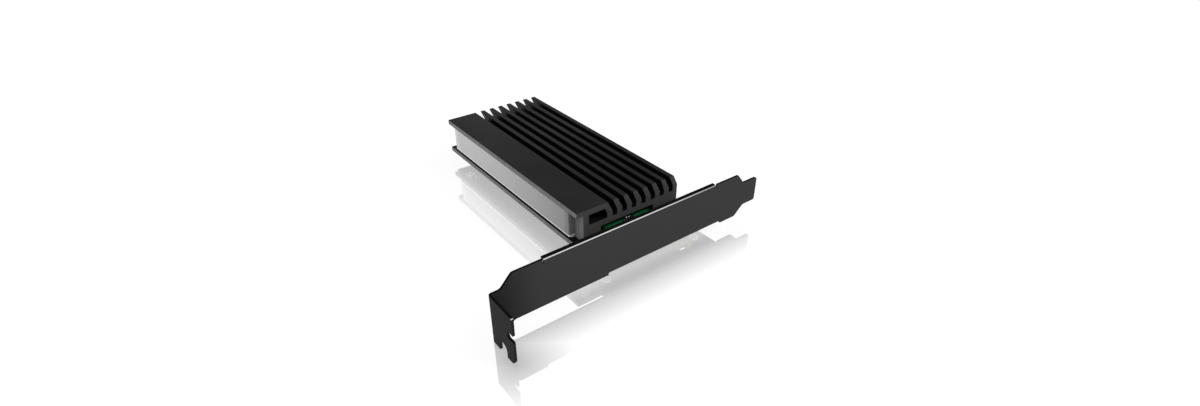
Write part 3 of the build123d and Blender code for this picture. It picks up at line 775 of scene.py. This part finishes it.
@dataclass
class Screws:
    """Screws with a domed head, a cross recess and a cut thread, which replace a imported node.

    The rim's shares are of the head's height, and so is the recess's depth. Its span and width are shares of
    the head's radius, its wall a share of its width and its slope one of its span.
    """

    node: str
    slot: str
    counts: tuple[int, int]
    head_radius: float
    head_height: float
    radius: float
    length: float
    pitch: float = 0.4
    thread_depth: float = 0.12
    tip_share: float = 0.7
    seat_step: float = 0.04
    rim_share: float = 0.45
    rim_base_share: float = 0.35
    recess_span: float = 0.62
    recess_width: float = 0.2
    recess_wall: float = 0.3
    recess_slope: float = 0.6
    recess_depth: float = 0.65
    columns: int = 64
    rows_per_turn: int = 8
    rim_rows: int = 7
    dome_rows: int = 30

    def arm(self, along: np.ndarray, across: np.ndarray) -> np.ndarray:
        """Gives one arm's share of the recess's depth: 1 on its line, 0 beyond its wall and past its span.

        The wall is a smooth step of the way across, and the end a square root of the way to the span.

        Args:
            along: places along the arm.
            across: places across it.

        Returns:
            The share.
        """
        width = self.recess_width * self.head_radius
        span = self.recess_span * self.head_radius
        wall = self.recess_wall * width
        side = np.clip((width + wall - np.abs(across)) / (2 * wall), 0, 1)
        end = np.clip((span - np.abs(along)) / (self.recess_slope * span), 0, 1)
        return side * side * (3 - 2 * side) * np.sqrt(end)

    def recess(self, x: np.ndarray, y: np.ndarray) -> np.ndarray:
        """Gives the cross recess's depth at places on the head: the deeper of two arms at right angles."""
        return self.recess_depth * self.head_height * np.maximum(self.arm(x, y), self.arm(y, x))

    def body(self) -> np.ndarray:
        """Gives one screw's points, with its head upwards and the head's seat at height 0.

        A profile of radius and height is turned about Z. On the shank the radius falls below the thread's
        crest by a triangle wave of height and angle, which makes a helix, and it narrows near the tip. The
        head's rim is a quarter circle and its dome a parabola, from which the recess is taken.

        Returns:
            A grid of rows from the tip up, places round it, and x, y, z.
        """
        angle = np.linspace(0, 2 * math.pi, self.columns, endpoint=False)[None, :]
        rows = int(self.length / self.pitch * self.rows_per_turn)
        z_shank = np.linspace(-self.length, -self.seat_step / 2, rows)[:, None]
        wave = np.abs(((z_shank / self.pitch - angle / (2 * math.pi)) % 1) * 2 - 1)
        taper = np.clip((z_shank + self.length) / self.radius, 0, 1)
        narrowing = self.tip_share + (1 - self.tip_share) * taper
        r_shank = (self.radius - self.thread_depth * wave) * narrowing
        tip = np.full((1, self.columns), POINT_RADIUS)
        seat = np.full((1, self.columns), self.head_radius - self.seat_step)
        turn = np.linspace(0, math.pi / 2, self.rim_rows)[:, None]
        rim = self.rim_share * self.head_height
        r_rim = self.head_radius - rim + rim * np.cos(turn) + 0 * angle
        z_rim = self.rim_base_share * self.head_height + rim * np.sin(turn) + 0 * angle
        r_top = np.linspace(self.head_radius - rim, POINT_RADIUS, self.dome_rows)[1:, None] + 0 * angle
        flat_top = z_rim[-1:, :]
        dome = (self.head_height - flat_top) * (1 - (r_top / r_top[0]) ** 2)
        z_top = flat_top + dome - self.recess(r_top * np.cos(angle), r_top * np.sin(angle))
        radii = np.vstack([tip, r_shank, seat, np.full_like(seat, self.head_radius), r_rim, r_top])
        flat = np.zeros_like(seat)
        step = flat + self.seat_step
        heights = np.vstack([flat - self.length, z_shank + 0 * angle, flat, step, z_rim, z_top])
        return np.stack([radii * np.cos(angle), radii * np.sin(angle), heights], axis=-1)

    def build(self) -> None:
        """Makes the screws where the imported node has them, turned about X so that their heads look down."""
        across = 2 * self.head_radius
        places = spread(self.node, (across, across), self.counts)
        places[:, 2] += self.head_height
        body = self.body() * np.array([1, -1, -1])
        piece(self.node + "_cut", body, places, ZINC, self.node)


@dataclass
class SmallParts:
    """Alike small parts on a board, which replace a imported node: bodies, and tinned caps on their ends."""

    node: str
    slot: str
    finish: Finish
    size: tuple[float, float, float]
    counts: tuple[int, int]
    cap_length: float = 0.0
    along: Axis = Axis.X
    cap_proud: float = 0.02
    body_rim: float = 0.05
    cap_rim: float = 0.04
    rim_steps: int = 2

    def build(self) -> None:
        """Makes the bodies and, where they have them, the caps."""
        places = spread(self.node, self.size, self.counts)
        width, depth, height = self.size
        thin = self.cap_proud
        sides = soft_edges(height - thin, self.body_rim, self.rim_steps)
        body = carried((width - 2 * thin, depth - 2 * thin), self.body_rim, sides, self.rim_steps)
        piece(self.node + "_bodies", body, places, self.finish, self.node)
        if not self.cap_length:
            return
        axis = self.along.value
        step = np.zeros(3)
        step[axis] = (self.size[axis] - self.cap_length) / 2
        cap_size = [width, depth]
        cap_size[axis] = self.cap_length
        sides = soft_edges(height, self.cap_rim, self.rim_steps)
        cap = carried(tuple(cap_size), self.cap_rim, sides, self.rim_steps)
        piece(self.node + "_ends", cap, np.vstack([places - step, places + step]), END_CAP)


@dataclass
class Diodes:
    """Six diodes: white packages with a sloping well, and the phosphor in it."""

    counts: tuple[int, int] = (1, 6)
    size: tuple[float, float, float] = (0.8, 1.6, 0.5)
    corner: float = 0.08
    corner_steps: int = 3
    bevel: float = 0.03
    foot: float = 0.04
    rim: float = 0.12
    well: float = 0.2
    well_slope: float = 0.06
    fill_gap: float = 0.05
    fill_round: float = 0.1
    fill_low: float = 0.08
    fill_high: float = 0.06

    def build(self) -> None:
        """Makes the packages, whose profile turns in over the rim and down the well, and the phosphor."""
        places = spread("leds", self.size, self.counts)
        plan, height = self.size[:2], self.size[2]
        floor = height - self.well
        profile = np.array([
            [self.bevel, 0.0], [0.0, self.foot], [0.0, height - self.bevel], [self.bevel, height],
            [self.rim, height], [self.rim + self.well_slope, floor],
        ])
        package = carried(plan, self.corner, profile, self.corner_steps)
        piece("diode_packages", package, places, DIODE, "leds")
        inner = tuple(side - 2 * (self.rim + self.fill_gap) for side in plan)
        profile = np.array([
            [0.0, floor], [0.0, height - self.fill_low], [self.fill_round, height - self.fill_high],
        ])
        fill = carried(inner, self.corner, profile, self.corner_steps)
        piece("diode_windows", fill, places, PHOSPHOR)


@dataclass
class HeatPads:
    """The two silicone pads, pressed a little: their sides bulge between the faces that hold them."""

    nodes: tuple[str, ...] = ("lower_heat_pad", "upper_heat_pad")
    bulge: float = 0.3
    arc_share: float = 0.96
    corner: float = 0.6
    rows: int = 9

    def build(self) -> None:
        """Makes both pads. A side's inset follows nearly a half circle over its height."""
        for node in self.nodes:
            low, high = box_mm(node)
            width, length, height = high - low
            share = np.linspace(-1, 1, self.rows)
            inset = self.bulge * (1 - np.sqrt(1 - self.arc_share * share * share))
            profile = np.column_stack([inset, (share + 1) / 2 * height])
            place = np.array([[(low[0] + high[0]) / 2, (low[1] + high[1]) / 2, low[2]]])
            pad = carried((width, length), self.corner, profile)
            piece(node + "_soft", pad, place, SILICONE, node)


@dataclass
class SocketSolder:
    """The solder that rises round each tail behind the drive's socket."""

    pitch: float = 0.5
    half_count: int = 19
    key_x: float = -6.0
    key_clear: float = 0.9
    size: tuple[float, float] = (0.4, 0.7)
    height: float = 0.14
    corner: float = 0.15
    corner_steps: int = 2
    rows: int = 5

    def build(self) -> None:
        """Makes one low mound for each tail. A mound's side is a quarter wave of the sine."""
        far_y = box_mm("socket_contacts")[1][1]
        x = (np.arange(-self.half_count, self.half_count) + 0.5) * self.pitch
        x = x[np.abs(x - self.key_x) > self.key_clear]
        rise = np.linspace(0, 1, self.rows)
        profile = np.column_stack([self.corner * rise, self.height * np.sin(rise * math.pi / 2)])
        y = np.full(x.size, far_y - self.size[1] / 2)
        mound = carried(self.size, self.corner, profile, self.corner_steps)
        places = np.column_stack([x, y, np.zeros(x.size)])
        piece("socket_solder", mound, places, TINNED)


@dataclass
class Card:
    """The card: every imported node's finish, and the fittings modelled here."""

    fittings: tuple[Screws | SmallParts | Diodes | HeatPads | SocketSolder, ...] = (
        Screws("heatsink_screws", "bright_screw", (2, 2), head_radius=1.6, head_height=1.0, radius=0.77,
               length=5.6),
        Screws("bracket_screws", "bright_screw", (2, 1), head_radius=2.0, head_height=1.3, radius=0.95,
               length=2.96, pitch=0.5),
        SmallParts("ssd_capacitors", "ceramic_part", CERAMIC, (1.6, 0.8, 0.8), (4, 2), cap_length=0.35),
        SmallParts("ssd_resistors", "chip_package", RESISTOR, (0.5, 1.0, 0.35), (6, 1), cap_length=0.2,
                   along=Axis.Y),
        SmallParts("ssd_coils", "coil_body", FERRITE, (3.0, 3.0, 1.15), (2, 1)),
        SmallParts("board_capacitor", "ceramic_part", WHITE_CERAMIC, (1.1, 5.6, 0.7), (1, 1),
                   cap_length=0.8, along=Axis.Y),
        Diodes(),
        HeatPads(),
        SocketSolder(),
    )

    def dress_metalwork(self) -> None:
        """Finishes the bracket, the heatsink with its light bar, the standoff and the drive's screw."""
        dress(POWDER_COAT, "slot_bracket")
        dress(ANODISED, "heatsink")
        dress(BRASS, "standoff")
        dress(DRIVE_SCREW, "ssd_screw")
        dress(ACRYLIC, "light_bar")

    def dress_boards(self) -> None:
        """Finishes both boards, their plating and contacts, the socket and the chips."""
        dress(BLACK_MASK, "circuit_board")
        dress(GOLD, "slot_plating", "edge_contacts", "ssd_contacts")
        dress(GOLD_PLANE, "ground_plane")
        dress(SOCKET_PLASTIC, "ssd_socket")
        dress(TINNED, "socket_contacts")
        dress(GREEN_MASK, "ssd_board")
        dress(EPOXY, "ssd_controller", "ssd_memory_chips", "ssd_cache_chip")

    def build(self) -> None:
        """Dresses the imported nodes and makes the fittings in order."""
        self.dress_metalwork()
        self.dress_boards()
        for fitting in self.fittings:
            fitting.build()


@dataclass
class Lamp:
    """A square soft light that looks at the card."""

    name: str
    place: tuple[float, float, float]
    side: float
    watts: float
    target: tuple[float, float, float] = (0.0, 55.0, 8.0)

    def build(self) -> None:
        """Makes the lamp and turns it to its target."""
        data = bpy.data.lights.new(self.name, "AREA")
        data.shape = "SQUARE"
        data.size = self.side * MM
        data.energy = self.watts
        lamp = bpy.data.objects.new(self.name, data)
        bpy.context.scene.collection.objects.link(lamp)
        lamp.location = Vector(self.place) * MM
        way = Vector(self.target) - Vector(self.place)
        lamp.rotation_euler = way.to_track_quat("-Z", "Y").to_euler()


@dataclass
class Studio:
    """A pale floor with a soft shine, even light, and the photograph's camera."""

    floor_z: float = -6.66
    floor_radius: float = 3000.0
    floor_sides: int = 96
    floor_colour: str = "fafafa"
    floor_shine: float = 0.48
    floor_roughness: float = 0.012
    floor_lift: float = 0.8
    floor_white: float = 1.06
    card_feet: tuple[tuple[float, ...], ...] = (
        (-24.9, 12.0, 31.0, 118.8, 24.0),
        (-69.7, -2.0, 50.3, 0.0, 14.0),
        (-69.7, -13.3, -68.9, 0.0, 19.0),
    )
    plan_half_height: float = 1.0
    room_colour: str = "ffffff"
    ambient: float = 0.85
    camera_place: tuple[float, float, float] = (-133.67, -139.49, 136.07)
    camera_turn: tuple[float, float, float] = (58.517, 0.0, -37.226)
    focal_pixels: float = 642.7
    image_width: float = 1200.0
    sensor_mm: float = 36.0
    nearest_seen: float = 5.0
    lamps: tuple[Lamp, ...] = (
        Lamp("left_lamp", (-420.0, -380.0, 620.0), 420.0, 0.6),
        Lamp("right_lamp", (300.0, -300.0, 420.0), 60.0, 0.9),
    )

    def away(self, surface: Surface) -> Socket:
        """Gives how far each point of the floor lies outside the card's plan.

        The plan is three rectangles, for the board, the bracket's plate and its tab, each with the reach of
        its reflection. A point's way out of one is the length of the part of its offset from the middle that
        goes beyond the half sides, as a share of that reach, and the shortest way of all counts. The floor
        lies within the half height, so height adds nothing.

        Args:
            surface: the floor's material tree.

        Returns:
            The distance, 0 at the card and 1 where the reflection ends.
        """
        ways = []
        for x0, y0, x1, y1, reach in self.card_feet:
            middle = ((x0 + x1) / 2, (y0 + y1) / 2, self.floor_z)
            offset = surface.add("VectorMath", {0: surface.point, 1: middle}, operation="SUBTRACT")
            offset = surface.add("VectorMath", {0: offset}, operation="ABSOLUTE")
            half = ((x1 - x0) / 2, (y1 - y0) / 2, self.plan_half_height)
            offset = surface.add("VectorMath", {0: offset, 1: half}, operation="SUBTRACT")
            offset = surface.add("VectorMath", {0: offset, 1: (0.0, 0.0, 0.0)}, operation="MAXIMUM")
            way = surface.add("VectorMath", {0: offset}, "Value", operation="LENGTH")
            ways.append(surface.add("Math", {0: way, 1: reach}, operation="DIVIDE"))
        nearest = ways[0]
        for way in ways[1:]:
            nearest = surface.add("Math", {0: nearest, 1: way}, operation="MINIMUM")
        return nearest

    def floor(self) -> None:
        """Makes the floor: a white disc, with a mirror that fades away from the card, lifted for the eye."""
        radius = self.floor_radius * MM
        bpy.ops.mesh.primitive_circle_add(vertices=self.floor_sides, radius=radius, fill_type="NGON")
        disc = bpy.context.object
        disc.name = "floor"
        disc.data.transform(Matrix.Translation((0, 0, self.floor_z * MM)))
        surface = Surface("pale_studio_floor")
        white = linear(self.floor_colour)
        matte = surface.add("BsdfDiffuse", {"Color": white})
        mirror = surface.add("BsdfAnisotropic", {"Color": white, "Roughness": self.floor_roughness})
        seen = surface.add("LightPath", output="Is Camera Ray")
        lift = surface.add("Math", {0: seen, 1: self.floor_lift}, operation="MULTIPLY")
        bright = surface.add("Emission", {"Strength": self.floor_white})
        lifted = surface.add("MixShader", {0: lift, 1: matte, 2: bright})
        fade = {0: self.away(surface), 1: 0.0, 2: 1.0, 3: self.floor_shine, 4: 0.0}
        shine = surface.add("MapRange", fade)
        both = surface.add("MixShader", {0: shine, 1: lifted, 2: mirror})
        surface.add("OutputMaterial", {0: both})
        disc.data.materials.append(surface.material)

    def world(self) -> None:
        """Makes the surroundings: white to the eye and in reflections, and a plain grey as a light."""
        world = bpy.data.worlds.new("soft_room")
        world.use_nodes = True
        bpy.context.scene.world = world
        nodes = Nodes(world.node_tree)
        diffuse = nodes.add("LightPath", output="Is Diffuse Ray")
        level = nodes.add("Math", {0: diffuse, 1: self.ambient - 1, 2: 1.0}, operation="MULTIPLY_ADD")
        back = nodes.add("Background", {"Color": linear(self.room_colour), "Strength": level})
        nodes.add("OutputWorld", {0: back})

    def camera(self) -> None:
        """Makes the camera that the photograph was fitted with: the lens follows from the focal length."""
        data = bpy.data.cameras.new("photo_camera")
        data.sensor_width = self.sensor_mm
        data.lens = self.focal_pixels / self.image_width * self.sensor_mm
        data.clip_start = self.nearest_seen * MM
        camera = bpy.data.objects.new("photo_camera", data)
        bpy.context.scene.collection.objects.link(camera)
        camera.location = Vector(self.camera_place) * MM
        camera.rotation_euler = tuple(math.radians(turn) for turn in self.camera_turn)
        bpy.context.scene.camera = camera

    def build(self) -> None:
        """Makes the camera, the floor, the lamps and the surroundings."""
        self.camera()
        self.floor()
        self.world()
        for lamp in self.lamps:
            lamp.build()
        bpy.context.scene.view_settings.view_transform = "Standard"


def main() -> None:
    logging.basicConfig(level=logging.INFO, format="%(name)s %(message)s")
    Studio().build()
    Card().build()


if __name__ == "__main__":
    main()
